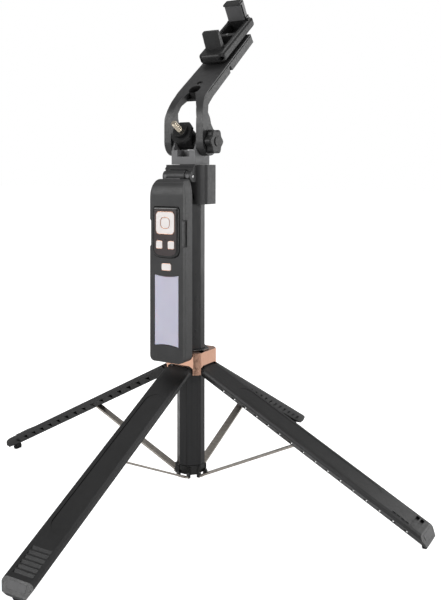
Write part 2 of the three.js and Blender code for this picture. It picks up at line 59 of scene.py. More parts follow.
PANEL_ENDS = (-47, -219)  # mm down the leg
NOSE = ((3.3, -266.6), (-3.4, -276.8))  # mm, y and z of both ends of the leg's chamfer
NOSE_RISE, NOSE_RUN = 10.2, 6.7  # mm
ARM_SLOPE_START = 0.428  # m above the ground
ROD_X, ROD_Z = 13.2, 8  # mm, the sliding jaw's rods in the clamp's own frame


# ---- camera -------------------------------------------------------------------------------

def make_camera():
    """A level camera at the photograph's angle, with its frame shifted down onto the object."""
    azimuth = math.radians(30.58)
    camera = bpy.data.objects.new("camera", bpy.data.cameras.new("camera"))
    bpy.context.scene.collection.objects.link(camera)
    camera.data.sensor_width = 36
    camera.data.lens = 47.64
    camera.data.shift_y = -0.2164
    camera.data.clip_start = 0.05
    camera.location = (0.4638, -0.7219, 0.3455)
    camera.rotation_euler = (math.pi / 2, 0, azimuth)
    bpy.context.scene.camera = camera


# ---- materials ----------------------------------------------------------------------------

def new_material(name):
    material = bpy.data.materials.new(name)
    material.use_nodes = True
    tree = material.node_tree
    return material, tree, tree.nodes["Principled BSDF"]


def noise(tree, scale, detail=3.0, stretch=(1, 1, 1)):
    """A noise texture in the row's own metres, squeezed along some axes by stretch."""
    place = tree.nodes.new("ShaderNodeTexCoord")
    mapping = tree.nodes.new("ShaderNodeMapping")
    mapping.inputs["Scale"].default_value = stretch
    texture = tree.nodes.new("ShaderNodeTexNoise")
    texture.inputs["Scale"].default_value = scale
    texture.inputs["Detail"].default_value = detail
    tree.links.new(place.outputs["Object"], mapping.inputs["Vector"])
    tree.links.new(mapping.outputs["Vector"], texture.inputs["Vector"])
    return texture.outputs["Fac"]


def ranged(tree, value, low, high, start=0.3, end=0.7):
    spread = tree.nodes.new("ShaderNodeMapRange")
    spread.inputs["From Min"].default_value = start
    spread.inputs["From Max"].default_value = end
    spread.inputs["To Min"].default_value = low
    spread.inputs["To Max"].default_value = high
    tree.links.new(value, spread.inputs["Value"])
    return spread.outputs["Result"]


def blended(tree, factor, first, second):
    mix = tree.nodes.new("ShaderNodeMix")
    mix.data_type = "RGBA"
    mix.inputs[6].default_value = (*first, 1)
    mix.inputs[7].default_value = (*second, 1)
    tree.links.new(factor, mix.inputs[0])
    return mix.outputs[2]


def worn_edges(tree):
    """Paler where the surface turns within half a millimetre, broken up by a noise."""
    geometry = tree.nodes.new("ShaderNodeNewGeometry")
    bevel = tree.nodes.new("ShaderNodeBevel")
    bevel.samples = 4
    bevel.inputs["Radius"].default_value = 0.5 * MM
    turned = tree.nodes.new("ShaderNodeVectorMath")
    turned.operation = "DISTANCE"
    tree.links.new(bevel.outputs["Normal"], turned.inputs[0])
    tree.links.new(geometry.outputs["True Normal"], turned.inputs[1])
    edge = ranged(tree, turned.outputs["Value"], 0, 0.7, 0.25, 0.7)
    times = tree.nodes.new("ShaderNodeMath")
    times.operation = "MULTIPLY"
    tree.links.new(edge, times.inputs[0])
    tree.links.new(ranged(tree, noise(tree, 220), 0.2, 1), times.inputs[1])
    return times.outputs[0]


def bumped(tree, shader, heights):
    """Chains one Bump node for each (height, strength, distance)."""
    last = None
    for height, strength, distance in heights:
        bump = tree.nodes.new("ShaderNodeBump")
        bump.inputs["Strength"].default_value = strength
        bump.inputs["Distance"].default_value = distance
        tree.links.new(height, bump.inputs["Height"])
        if last:
            tree.links.new(last, bump.inputs["Normal"])
        last = bump.outputs["Normal"]
    tree.links.new(last, shader.inputs["Normal"])


def moulded(name, dark, light, edge, rough, grain=2600, depth=0.35, gloss=0.4):
    """Moulded plastic: a fine spark-eroded grain, faint cloudy colour and paler worn edges."""
    material, tree, shader = new_material(name)
    shader.inputs["Specular IOR Level"].default_value = gloss
    cloud = ranged(tree, noise(tree, 60, 5), 0, 1)
    base = blended(tree, cloud, dark, light)
    mix = tree.nodes.new("ShaderNodeMix")
    mix.data_type = "RGBA"
    mix.inputs[7].default_value = (*edge, 1)
    tree.links.new(base, mix.inputs[6])
    tree.links.new(worn_edges(tree), mix.inputs[0])
    tree.links.new(mix.outputs[2], shader.inputs["Base Color"])
    roughness = ranged(tree, noise(tree, 400, 4), rough - 0.06, rough + 0.08)
    tree.links.new(roughness, shader.inputs["Roughness"])
    bumped(tree, shader, [
        (noise(tree, grain, 2), depth, 0.0001),
        (noise(tree, 90, 3), 0.06, 0.0004),
    ])
    return material


def polished(name, first, second, rough, streak=(1, 1, 1), scale=900, depth=0.1):
    """Bare or plated metal, with streaks where it is brushed."""
    material, tree, shader = new_material(name)
    shader.inputs["Metallic"].default_value = 1.0
    lines = noise(tree, scale, 4, streak)
    tree.links.new(blended(tree, ranged(tree, lines, 0, 1), first, second), shader.inputs["Base Color"])
    tree.links.new(ranged(tree, lines, rough * 0.8, rough * 1.3), shader.inputs["Roughness"])
    bumped(tree, shader, [(lines, depth, 0.00005)])
    return material


def anodised(name, dark, light, rough):
    """Satin black anodised tube, with long faint drawing lines up the mast."""
    material, tree, shader = new_material(name)
    shader.inputs["Metallic"].default_value = 0.35
    shader.inputs["Coat Weight"].default_value = 0.15
    lines = noise(tree, 500, 3, (1, 1, 0.02))
    tree.links.new(blended(tree, ranged(tree, lines, 0, 1), dark, light), shader.inputs["Base Color"])
    roughness = ranged(tree, noise(tree, 150, 4), rough - 0.05, rough + 0.08)
    tree.links.new(roughness, shader.inputs["Roughness"])
    bumped(tree, shader, [(lines, 0.12, 0.00006)])
    return material


def milky(name):
    """The fill light's diffuser: milky plastic over the dim pattern of its chips."""
    material, tree, shader = new_material(name)
    base = blended(tree, ranged(tree, noise(tree, 30, 2), 0, 1), (0.60, 0.59, 0.72), (0.65, 0.64, 0.76))
    tree.links.new(base, shader.inputs["Base Color"])
    tree.links.new(ranged(tree, noise(tree, 500, 3), 0.3, 0.4), shader.inputs["Roughness"])
    shader.inputs["Subsurface Weight"].default_value = 0.15
    shader.inputs["Subsurface Scale"].default_value = 0.002
    bumped(tree, shader, [(noise(tree, 1800, 2), 0.08, 0.0001)])
    return material


def greys(dark, light, edge, warmth=1.0):
    """Three near-neutral colours from three reflectances."""
    return tuple((value * warmth, value, value * 1.02) for value in (dark, light, edge))


def make_materials():
    return {
        "body_plastic": moulded("satin_black_plastic", *greys(0.011, 0.016, 0.05), 0.40),
        "gloss_plastic": moulded("gloss_black_plastic", *greys(0.008, 0.012, 0.05), 0.2, 900, 0.08, 0.6),
        "leg_plastic": moulded(
            "grained_black_plastic", *greys(0.012, 0.016, 0.06), 0.36, 1500, 0.5, 0.6),
        "arm_plastic": moulded("arm_plastic", *greys(0.026, 0.036, 0.09), 0.38, 2000, 0.3, 0.5),
        "housing_plastic": moulded("charcoal_plastic", *greys(0.034, 0.043, 0.09), 0.42, 2600, 0.3),
        "remote_plastic": moulded("warm_black_plastic", *greys(0.036, 0.046, 0.09, 1.3), 0.35),
        "head_plastic": moulded("grey_plastic", *greys(0.15, 0.18, 0.25), 0.42, 1800, 0.4),
        "plate_plastic": moulded("plate_grey_plastic", *greys(0.085, 0.105, 0.18), 0.45, 1800, 0.4),
        "pad_rubber": moulded("pad_rubber", *greys(0.075, 0.090, 0.12), 0.6, 1300, 0.5),
        "foot_rubber": moulded("foot_rubber", *greys(0.009, 0.013, 0.03), 0.6, 1300, 0.6),
        "mast_finish": anodised("black_anodised", (0.010, 0.010, 0.011), (0.017, 0.017, 0.018), 0.32),
        "section_finish": anodised("section_anodised", (0.02, 0.02, 0.021), (0.03, 0.03, 0.031), 0.3),
        "collar_finish": polished(
            "rose_gold", (0.88, 0.50, 0.35), (0.93, 0.56, 0.41), 0.12, scale=300, depth=0.03),
        "strut_steel": polished(
            "strap_steel", (0.42, 0.38, 0.34), (0.60, 0.56, 0.51), 0.34, (0.12, 0.12, 1), 1500, 0.25),
        "pin_steel": polished("pin_steel", (0.5, 0.5, 0.5), (0.62, 0.62, 0.62), 0.3),
        "screw_gold": polished("screw_gold", (0.80, 0.70, 0.55), (0.93, 0.84, 0.70), 0.18),
        "diffuser_plastic": milky("milky_diffuser"),
        "button_plastic": moulded(
            "button_white", (0.95, 0.89, 0.87), (0.98, 0.93, 0.91), (0.98, 0.94, 0.92), 0.4, 2400, 0.1),
        "board_laminate": moulded(
            "board_green", (0.01, 0.09, 0.04), (0.02, 0.14, 0.07), (0.3, 0.25, 0.1), 0.4, 700, 0.4),
        "cell_metal": polished("cell_can", (0.55, 0.57, 0.6), (0.66, 0.68, 0.7), 0.3, (1, 1, 0.05)),
    }


# ---- mesh helpers -------------------------------------------------------------------------

def along_x(u, v, w):
    return (w * MM, u * MM, v * MM)


def along_y(u, v, w):
    return (u * MM, w * MM, v * MM)


def along_z(u, v, w):
    return (u * MM, v * MM, w * MM)


def new_object(name, bm):
    bmesh.ops.recalc_face_normals(bm, faces=bm.faces)
    mesh = bpy.data.meshes.new(name)
    bm.to_mesh(mesh)
    bm.free()
    piece = bpy.data.objects.new(name, mesh)
    bpy.context.scene.collection.objects.link(piece)
    return piece


def add_prism(bm, outline, low, high, place):
    bottom = [bm.verts.new(place(u, v, low)) for u, v in outline]
    top = [bm.verts.new(place(u, v, high)) for u, v in outline]
    bm.faces.new(bottom[::-1])
    bm.faces.new(top)
    for i in range(len(outline)):
        j = (i + 1) % len(outline)
        bm.faces.new((bottom[i], bottom[j], top[j], top[i]))


def prism(name, outline, low, high, place):
    """A closed prism of an outline in millimetres."""
    bm = bmesh.new()
    add_prism(bm, outline, low, high, place)
    return new_object(name, bm)


def prisms(name, rows, place):
    """Several separate prisms in one object, from (outline, low, high) rows."""
    bm = bmesh.new()
    for outline, low, high in rows:
        add_prism(bm, outline, low, high, place)
    return new_object(name, bm)


def arc(cx, cy, radius, start, end, steps=8):
    """Points of an arc, angles in degrees."""
    points = []
    for i in range(steps + 1):
        angle = math.radians(start + (end - start) * i / steps)
        points.append((cx + radius * math.cos(angle), cy + radius * math.sin(angle)))
    return points


def rounded(x0, x1, y0, y1, radius, steps=6):
    """A rectangle with round corners."""
    return (
        arc(x1 - radius, y1 - radius, radius, 0, 90, steps)
        + arc(x0 + radius, y1 - radius, radius, 90, 180, steps)
        + arc(x0 + radius, y0 + radius, radius, 180, 270, steps)
        + arc(x1 - radius, y0 + radius, radius, 270, 360, steps)
    )


def rectangle(x0, x1, y0, y1):
    return [(x0, y0), (x1, y0), (x1, y1), (x0, y1)]


def circle(cx, cy, radius, steps=32):
    return arc(cx, cy, radius, 0, 360 * (steps - 1) / steps, steps - 1)


def applied(piece):
    """Replaces the piece's mesh by what its modifiers make."""
    graph = bpy.context.evaluated_depsgraph_get()
    mesh = bpy.data.meshes.new_from_object(piece.evaluated_get(graph))
    piece.modifiers.clear()
    piece.data = mesh
    return piece


def carve(piece, others, operation="DIFFERENCE"):
    for other in others:
        modifier = piece.modifiers.new("carve", "BOOLEAN")
        modifier.operation = operation
        modifier.object = other
        modifier.solver = "EXACT"
    applied(piece)
    for other in others:
        bpy.data.objects.remove(other)
    return piece


def tidy_faces(piece, angle=0.5):
    """Merges doubled points and joins flat neighbouring faces."""
    bm = bmesh.new()
    bm.from_mesh(piece.data)
    bmesh.ops.remove_doubles(bm, verts=bm.verts, dist=2e-6)
    bmesh.ops.dissolve_limit(bm, angle_limit=math.radians(angle), verts=bm.verts, edges=bm.edges)
    bm.to_mesh(piece.data)
    bm.free()
    return piece


def smooth(piece, angle=SHARP):
    piece.data.shade_smooth()
    piece.data.set_sharp_from_angle(angle=math.radians(angle))
    return piece


def soften(piece, width, segments=2, angle=32):
    """Rounds every edge sharper than angle and shades the rest smooth."""
    bevel = piece.modifiers.new("edges", "BEVEL")
    bevel.width = width * MM
    bevel.segments = segments
    bevel.limit_method = "ANGLE"
    bevel.angle_limit = math.radians(angle)
    bevel.miter_outer = "MITER_ARC"
    bevel.use_clamp_overlap = True
    applied(piece)
    return smooth(piece)


def round_uprights(piece, width, reach, segments=5):
    """Rounds the long upright edges that stand further than reach (mm) from the mast axis."""
    bm = bmesh.new()
    bm.from_mesh(piece.data)
    edges = []
    for edge in bm.edges:
        a, b = (vert.co for vert in edge.verts)
        upright = abs(a.z - b.z) > 6 * MM and (a.xy - b.xy).length < 0.01 * MM
        if upright and a.xy.length > reach * MM and edge.calc_face_angle(0) > 0.3:
            edges.append(edge)
    bmesh.ops.bevel(
        bm, geom=edges, offset=width * MM, segments=segments, profile=0.5, affect="EDGES",
        clamp_overlap=True)
    bm.to_mesh(piece.data)
    bm.free()
    return piece


def copy_of(node, name):
    piece = bpy.data.objects.new(name, nodes[node].data.copy())
    piece.data.materials.clear()
    bpy.context.scene.collection.objects.link(piece)
    return tidy_faces(piece)


def dress(piece, material, slot, body, *stands_for):
    piece.data.materials.clear()
    piece.data.materials.append(materials[material])
    even = piece.modifiers.new("even_shading", "WEIGHTED_NORMAL")
    even.keep_sharp = True
    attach(piece, body)
    if stands_for:
        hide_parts(*stands_for)
    return piece


def refine(node, width, material=None, segments=2):
    """A finer piece in place of a CAD node of the right shape: its edges are rounded."""
    piece = soften(copy_of(node, node + "_fine"), width, segments)
    return dress(piece, material or slot_of[node], slot_of[node], body_of[node], node)


# ---- legs ---------------------------------------------------------------------------------

def leg_matrix(side):
    """From a leg's own frame (x across, y out of its face, -z down it) to the row's."""
    joint = joints["leg_fold_" + side]
    hinge = Vector(joint["pos_m"])
    turn = Matrix.Rotation(SIDES[side] * math.pi / 2, 4, "Z")
    lean = Matrix.Rotation(math.radians(joint["range_deg"][1]), 4, "X")
    return Matrix.Translation(hinge) @ turn @ lean


def panel_block(name, half, low, high):
    """A long block with round ends over the leg's outer face."""
    top, bottom = PANEL_ENDS
    outline = arc(0, top - half, half, 0, 180, 16) + arc(0, bottom + half, half, 180, 360, 16)
    return prism(name, outline, low, high, along_y)


def leg_panel():
    """Two cutters for the long panel on the leg's outer face, the second one deeper."""
    shallow = panel_block("panel", 10.9, 2.9, 6)
    inner = panel_block("inner", 10.1, 2.9, 6)
    deep = carve(panel_block("deep", 10.9, 2.3, 4), [inner])
    return [shallow, deep]


def leg_cells():
    """Small three-cornered openings in a row along each sloping side wall."""
    rows = []
    pitch = 14.6
    for i in range(16):
        s = -36 - pitch * i
        outline = [(-6.2, s), (-2.2, s + 3), (-2.2, s - 3)]
        rows += [(outline, 7, 19), (outline, -19, -7)]
    return prisms("cells", rows, along_x)


def leg_grips():
    """Shallow steps across the leg near its foot."""
    rows = []
    for i in range(6):
        s = -237 - 4.6 * i
        step = [(2.1, s - 2.2), (3.9, s - 2.5), (3.9, s + 1.2), (3.0, s + 0.9)]
        rows.append((step, -11.0, 11.0))
    return prisms("grips", rows, along_x)


def leg_ribs():
    """Low cross ribs inside the channel, left out round the strut's eye."""
    rows = []
    pitch = 8.7
    for i in range(29):
        s = -20 - pitch * i
        if -142 < s < -122:
            continue
        rib = [(1.6, s - 0.5), (1.6, s + 0.5), (0.7, s + 0.5), (0.7, s - 0.5)]
        for sign in (-1, 1):
            inner, outer = sorted((sign * 8.2, sign * 12.5))
            rows.append((rib, inner, outer))
    return prisms("ribs", rows, along_x)


def build_leg(side):
    """A leg with its ribs, closed chamfered end, panel, grips and openings, and what rides on it."""
    matrix = leg_matrix(side)
    piece = copy_of("leg_" + side, "leg_" + side + "_fine")
    piece.data.transform(matrix.inverted())
    profile = [(11.5, 3.1), (-11.5, 3.1), (-14.6, 1), (-12.3, -3.9), (12.3, -3.9), (14.6, 1)]
    slope = [(4, -265.6), (4, -262.6), (-4, -275.2), (-4, -278.2)]
    end_wall = carve(prism("end_wall", profile, -280, -260, along_z),
                     [prism("slope", slope, -20, 20, along_x)], "INTERSECT")
    carve(piece, [leg_ribs(), end_wall], "UNION")
    carve(piece, [prism("ends", rounded(-20, 20, -276.5, 12, 6, 8), -20, 20, along_y)], "INTERSECT")
    edge, tip = NOSE
    nose = [edge, (6, edge[1]), (6, -281), (tip[0], -281), tip]
    carve(piece, [prism("nose", nose, -20, 20, along_x)])
    tidy_faces(piece)
    soften(piece, 1.0, 4)
    carve(piece, [*leg_panel(), leg_grips(), leg_cells()])
    piece.data.transform(matrix)
    piece.data.shade_flat()
    dress(piece, "leg_plastic", "body_plastic", "leg_" + side, "leg_" + side)
    outline = rounded(-10.2, 10.2, 2.4, 8.6, 1.6)
    plate = soften(prism("leg_end_plate_" + side, outline, -0.5, 0.3, along_z), 0.2)
    lean = math.atan2(NOSE_RISE, NOSE_RUN)
    seat = Matrix.Translation((0, edge[0] * MM, edge[1] * MM))
    plate.data.transform(seat @ Matrix.Rotation(math.pi + lean, 4, "X"))
    plate.data.transform(matrix)
    dress(plate, "plate_plastic", "head_plastic", "leg_" + side)
    refine("foot_pad_" + side, 0.5, "foot_rubber")
    refine("strut_" + side, 0.25)


# ---- fill light ---------------------------------------------------------------------------

def light_box():
    """The light's sizes in the frame, in mm."""
    low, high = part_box("light_front_shell")
    panel_low, panel_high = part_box("light_diffuser")
    return {
        "half": high.x / MM, "bottom": low.z / MM, "top": high.z / MM, "front": low.y / MM,
        "back": joints["light_tilt"]["pos_m"][1] / MM - 6.7,
        "panel_half": panel_high.x / MM, "panel_low": panel_low.z / MM,
        "panel_high": panel_high.z / MM,
    }


def light_front_outline(half, low, high):
    """The light seen from the front: round lower corners, shoulders drawn in at the top."""
    shoulder = high - 20
    right = [(half, shoulder), (half - 0.3, shoulder + 7), (half - 1.3, shoulder + 13)]
    right += [(half - 2.9, high - 2), (half - 4.4, high)]
    left = [(-x, z) for x, z in reversed(right)]
    radius = 5.5
    return (
        arc(half - radius, low + radius, radius, 270, 360, 6) + right + left
        + arc(radius - half, low + radius, radius, 180, 270, 6)
    )


def light_side_outline(front, back, low, high):
    """The light seen from the side: the front face curls back to the hinge at the top."""
    curl = 17
    depth = 11.5
    points = [(back, low), (front, low)]
    for i in range(11):
        angle = math.radians(90 * i / 10)
        points.append((front + depth * (1 - math.cos(angle)), high - curl + curl * math.sin(angle)))
    return points + [(back, high)]


def light_body(name):
    """The whole outside of the light."""
    box = light_box()
    half, low, high = box["half"], box["bottom"], box["top"]
    front, back = box["front"], box["back"]
    piece = prism(name, light_side_outline(front, back, low, high), -half, half, along_x)
    mask = prism("mask", light_front_outline(half, low, high), front - 5, back + 5, along_y)
    return carve(piece, [mask], "INTERSECT")


def panel_outline(grow):
    """The diffuser's outline: its top edge dips and its bottom edge rises in the middle."""
    box = light_box()
    half = box["panel_half"] + grow
    low, high = box["panel_low"] - grow, box["panel_high"] + grow
    bow = 1.7
    top = [(half * (1 - i / 6), high - bow * (1 - (1 - i / 6) ** 2)) for i in range(13)]
    bottom = [(-half * (1 - i / 6), low + bow * (1 - (1 - i / 6) ** 2)) for i in range(13)]
    return top + bottom


def remote_outline(grow):
    """The remote seen from the front: tight upper corners and a bowed lower end."""
    low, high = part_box("remote_front_shell")
    half = high.x / MM + grow
    top, bottom = high.z / MM + grow, low.z / MM - grow
    upper = 2.8
    side = bottom + 10
    points = arc(half - upper, top - upper, upper, 0, 90, 6)
    points += arc(upper - half, top - upper, upper, 90, 180, 6)
    for i in range(17):
        angle = math.radians(180 + 180 * i / 16)
        x = half * math.copysign(abs(math.cos(angle)) ** 0.62, math.cos(angle))
        points.append((x, side - 10 * abs(math.sin(angle)) ** 0.62))
    return points


def side_grips(half, low, high):
    """A shallow finger notch in each side of the light."""
    rows = []
    for sign in (-1, 1):
        outer, inner = sign * (half + 3), sign * (half - 1.3)
        rows.append(([(outer, 262), (outer, 299), (inner, 293), (inner, 268)], low, high))
    return prisms("grips", rows, along_y)


def build_light():
    box = light_box()
    front = box["front"]
    seam = front + 4.2
    half = box["half"]
    hinge = Vector(joints["light_tilt"]["pos_m"]) / MM

    face = light_body("light_front_fine")
    behind = prism("behind", rectangle(-60, 60, 100, 400), seam, 0, along_y)
    carve(face, [behind])
    button_low, button_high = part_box("light_button")
    press = rounded(
        button_low.x / MM - 0.3, button_high.x / MM + 0.3,
        button_low.z / MM - 0.3, button_high.z / MM + 0.3, 1.6)
    carve(face, [
        prism("window", panel_outline(0.25), front - 3, seam + 3, along_y),
        prism("press", press, front - 3, seam + 3, along_y),
        prism("recess", remote_outline(0.35), front - 3, seam + 8, along_y),
        side_grips(half, front - 2, front + 12),
    ])
    tidy_faces(face)
    soften(face, 0.9, 3)
    dress(face, "housing_plastic", "housing_plastic", "light", "light_front_shell")

    rear = light_body("light_rear_fine")
    ahead = prism("ahead", rectangle(-60, 60, 100, 400), front - 9, seam + 0.35, along_y)
    carve(rear, [ahead])
    neck_half = 9.9
    neck = prism("neck", [
        (box["back"] - 3, 322), (box["back"] + 2, 328), (hinge.y - 1, hinge.z - 5.5),
        (hinge.y, hinge.z - 5.6), (hinge.y, box["top"]), (hinge.y - 6.6, hinge.z - 1.9),
        (hinge.y - 14, hinge.z - 1.9),
        (box["front"] + 9, box["top"] - 4), (box["back"] - 3, box["top"] - 4),
    ], -neck_half, neck_half, along_x)
    eye = prism("eye", circle(hinge.y, hinge.z, 6.85, 48), -neck_half, neck_half, along_x)
    carve(rear, [neck, eye], "UNION")
    bore = prism("bore", circle(hinge.y, hinge.z, 1.9, 24), -neck_half - 1, neck_half + 1, along_x)
    inside = rounded(-half + 2, half - 2, 150, 314, 4)
    hollow = prism("hollow", inside, seam - 1, box["back"] - 1.9, along_y)
    carve(rear, [bore, hollow, side_grips(half, seam - 1, seam + 3.6)])
    tidy_faces(rear)
    soften(rear, 0.7, 2)
    dress(rear, "housing_plastic", "housing_plastic", "light", "light_rear_shell")

    panel = prism("light_diffuser_fine", panel_outline(-0.1), front + 0.35, seam - 0.2, along_y)
    soften(panel, 0.35)
    dress(panel, "diffuser_plastic", "diffuser_plastic", "light", "light_diffuser")

    # The recess is closed behind the remote by a tray. Its black, darker than the housing, is painted shade in the
    # groove round the remote.
    shade_tray = prism("remote_recess_shade_tray", remote_outline(0.9), seam + 0.4, seam + 4.6, along_y)
    pocket = prism("pocket", remote_outline(0.3), seam - 1, seam + 3.5, along_y)
    carve(shade_tray, [pocket])
    tidy_faces(shade_tray)
    soften(shade_tray, 0.2)
    dress(shade_tray, "body_plastic", "housing_plastic", "light")


def build_rim(name, outline, inner, low, high, body):
    """A thin rose-gold frame round a button."""
    rim = prism(name, outline, low, high, along_y)
    carve(rim, [prism("inside", inner, low - 1, high + 1, along_y)])
    soften(rim, 0.12)
    dress(rim, "collar_finish", "collar_finish", body)


def key_outline(node, grow, radius):
    low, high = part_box(node)
    return rounded(low.x / MM - grow, high.x / MM + grow, low.z / MM - grow, high.z / MM + grow, radius)


def build_key(node, radius):
    low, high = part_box(node)
    key = prism(node + "_fine", key_outline(node, 0, radius), low.y / MM, high.y / MM, along_y)
    soften(key, 0.5, 3)
    dress(key, "button_plastic", "button_plastic", body_of[node], node)


def remote_cuts(front, keys, centre, radius):
    """The holes for the keys, the plate and the round button, and a pin hole between them."""
    plate = key_outline("remote_button_plate", 0.3, 4.2)
    crown = circle(0, centre, radius + 0.3, 40)
    deep = [key_outline(node, 0.3, 1.3) for node in keys]
    cuts = [prism("key", outline, front - 2, front + 3.2, along_y) for outline in deep]
    cuts.append(prism("plate", plate, front - 2, front + 0.95, along_y))
    cuts.append(prism("shutter", crown, front - 2, front + 3.2, along_y))
    cuts.append(prism("mic", circle(0, centre - 17.4, 0.6, 16), front - 2, front + 1, along_y))
    return cuts


def build_remote():
    """The remote's shell and face, its solid back, its plate and keys, and the rims round them."""
    low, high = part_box("remote_front_shell")
    front = low.y / MM
    rear_low, rear_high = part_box("remote_rear_shell")
    keys = ("remote_left_button", "remote_right_button")
    shell = prism("remote_front_fine", remote_outline(0), front, high.y / MM, along_y)
    soften(shell, 2.2, 5)
    shutter_low, shutter_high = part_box("remote_shutter_button")
    centre = (shutter_low.z + shutter_high.z) / 2 / MM
    radius = (shutter_high.x - shutter_low.x) / 2 / MM
    carve(shell, remote_cuts(front, keys, centre, radius))
    tidy_faces(shell, 0.1)
    soften(shell, 0.15, 2, 60)
    dress(shell, "gloss_plastic", "housing_plastic", "remote", "remote_front_shell")
    face = prism("remote_face", remote_outline(-2.5), front - 0.14, front + 0.3, along_y)
    carve(face, remote_cuts(front, keys, centre, radius))
    soften(face, 0.1, 2, 60)
    dress(face, "remote_plastic", "housing_plastic", "remote")
    back = prism(
        "remote_rear_fine", remote_outline(-0.1), rear_low.y / MM, rear_high.y / MM, along_y)
    soften(back, 0.8, 3)
    hidden = ("remote_circuit_board", "remote_cell")
    dress(back, "remote_plastic", "housing_plastic", "remote", "remote_rear_shell", *hidden)

    plate_low, plate_high = (corner.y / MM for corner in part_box("remote_button_plate"))
    plate = prism(
        "remote_plate_fine", key_outline("remote_button_plate", -0.35, 3.9),
        plate_low - 0.1, plate_high, along_y)
    hole = rounded(
        -radius - 0.2, radius + 0.2, centre - radius - 0.2, centre + radius + 0.2, 4.4)
    carve(plate, [prism("hole", hole, plate_low - 2, plate_high + 2, along_y)])
    soften(plate, 0.3, 3)
    dress(plate, "button_plastic", "button_plastic", "remote", "remote_button_plate")
    crown = rounded(
        -radius + 0.5, radius - 0.5, centre - radius + 0.5, centre + radius - 0.5, 3.9)
    shutter = prism(
        "remote_shutter_fine", crown,
        shutter_low.y / MM + 0.25, shutter_high.y / MM, along_y)
    soften(shutter, 0.6, 3)
    dress(shutter, "button_plastic", "button_plastic", "remote_shutter_button", "remote_shutter_button")
    build_rim(
        "remote_plate_rim", key_outline("remote_button_plate", 0.15, 4.1),
        key_outline("remote_button_plate", -0.3, 3.95), plate_low + 0.1, plate_high, "remote")
    build_rim(
        "remote_shutter_rim",
        rounded(-radius - 0.1, radius + 0.1, centre - radius - 0.1, centre + radius + 0.1, 4.3),
        rounded(-radius + 0.4, radius - 0.4, centre - radius + 0.4, centre + radius - 0.4, 4.0),
        plate_low + 0.05, plate_high, "remote")
    for node in keys:
        build_key(node, 1.3)
        build_rim(
            node + "_rim", key_outline(node, 0.28, 1.5), key_outline(node, 0.06, 1.35),
            front - 0.12, front + 0.8, "remote")
    build_key("light_button", 1.4)
    build_rim(
        "light_button_rim", key_outline("light_button", 0.28, 1.6), key_outline("light_button", 0.06, 1.45),
        light_box()["front"] - 0.1, light_box()["front"] + 0.9, "light")


# ---- head ---------------------------------------------------------------------------------

def tilt_matrix():
    """From the tilt block's own frame (pivot at the origin, camera disc facing -y) to the row's."""
    axis = next(m for m in record["mounts"] if m["name"] == "camera_seat")["axis"]
    lean = -math.atan2(axis[2], -axis[1])
    pivot = Vector((0, 0, joints["arm_tilt"]["pos_m"][2]))
    return Matrix.Translation(pivot) @ Matrix.Rotation(lean, 4, "X")


def build_tilt_block():
    """A barrel on the pivot, an eight-sided plate in front of it and a knurled ring round the stud."""
    matrix = tilt_matrix()
    plate_front, plate_back, ring_front = -21.0, -17.0, -25.4
    teeth = 34
    knurl = []
    for i in range(teeth * 2):
        angle = math.pi * i / teeth
        radius = 8.4 if i % 2 else 7.9
        knurl.append((radius * math.cos(angle), radius * math.sin(angle)))
    block = prism("tilt_block_fine", circle(0, 0, 8.3, 48), -12.1, 12.1, along_x)
    neck = prism("neck", rounded(-8.6, 8.6, -7.8, 7.8, 2), plate_back - 1, -1, along_y)
    plate = [
        (11, -6.5), (11, 6.5), (6, 12), (-6, 12), (-11, 6.5), (-11, -6.5), (-6, -12), (6, -12),
    ]
    carve(block, [neck, prism("plate", plate, plate_front, plate_back, along_y)], "UNION")
    tidy_faces(block)
    soften(block, 0.9, 3)
    carve(block, [
        prism("bolt", circle(0, 0, 2.8, 24), -14, 14, along_x),
        prism("stud", circle(0, 0, 3.4, 24), -27, -16, along_y),
    ])
    ring = prism("tilt_ring", knurl, ring_front, plate_front - 0.2, along_y)
    carve(ring, [prism("stud", circle(0, 0, 3.4, 24), -27, -16, along_y)])
    soften(ring, 0.2, 1)
    for piece in (block, ring):
        piece.data.transform(matrix)
        smooth(piece)
    dress(block, "body_plastic", "body_plastic", "tilt_head", "tilt_block")
    dress(ring, "gloss_plastic", "body_plastic", "tilt_head")


def build_camera_screw():
    """A quarter-inch stud, its thread drawn as a helix of rings."""
    pitch, start, end, outer, depth = 1.27, -22.1, -38.6, 3.1, 0.5
    around, rings = 28, 92
    bm = bmesh.new()
    grid = []
    for i in range(rings + 1):
        y = start + (end - start) * i / rings
        ring = []
        for j in range(around):
            phase = (y / pitch + j / around) % 1.0
            notch = depth * (1 - abs(2 * phase - 1) * 2) if abs(2 * phase - 1) < 0.5 else 0
            taper = 0.45 * max(0.0, (i - rings + 5) / 5)
            radius = outer - notch - taper
            angle = 2 * math.pi * j / around
            x, z = radius * math.cos(angle), radius * math.sin(angle)
            ring.append(bm.verts.new(along_y(x, z, y)))
        grid.append(ring)
    for i in range(rings):
        for j in range(around):
            k = (j + 1) % around
            bm.faces.new((grid[i][j], grid[i][k], grid[i + 1][k], grid[i + 1][j]))
    bm.faces.new(grid[0])
    bm.faces.new(grid[-1])
    screw = new_object("camera_screw_fine", bm)
    screw.data.transform(tilt_matrix())
    smooth(screw, 50)
    dress(screw, "screw_gold", "screw_gold", "tilt_head", "camera_screw")


def slope_matrix():
    """From the arm's own frame (y up its top face, z out of it) to the row's."""
    axis = next(m for m in record["mounts"] if m["name"] == "phone_back_rest")["axis"]
    start = Vector((0, 0, ARM_SLOPE_START))
    return Matrix.Translation(start) @ Matrix.Rotation(math.atan2(-axis[1], axis[2]), 4, "X")


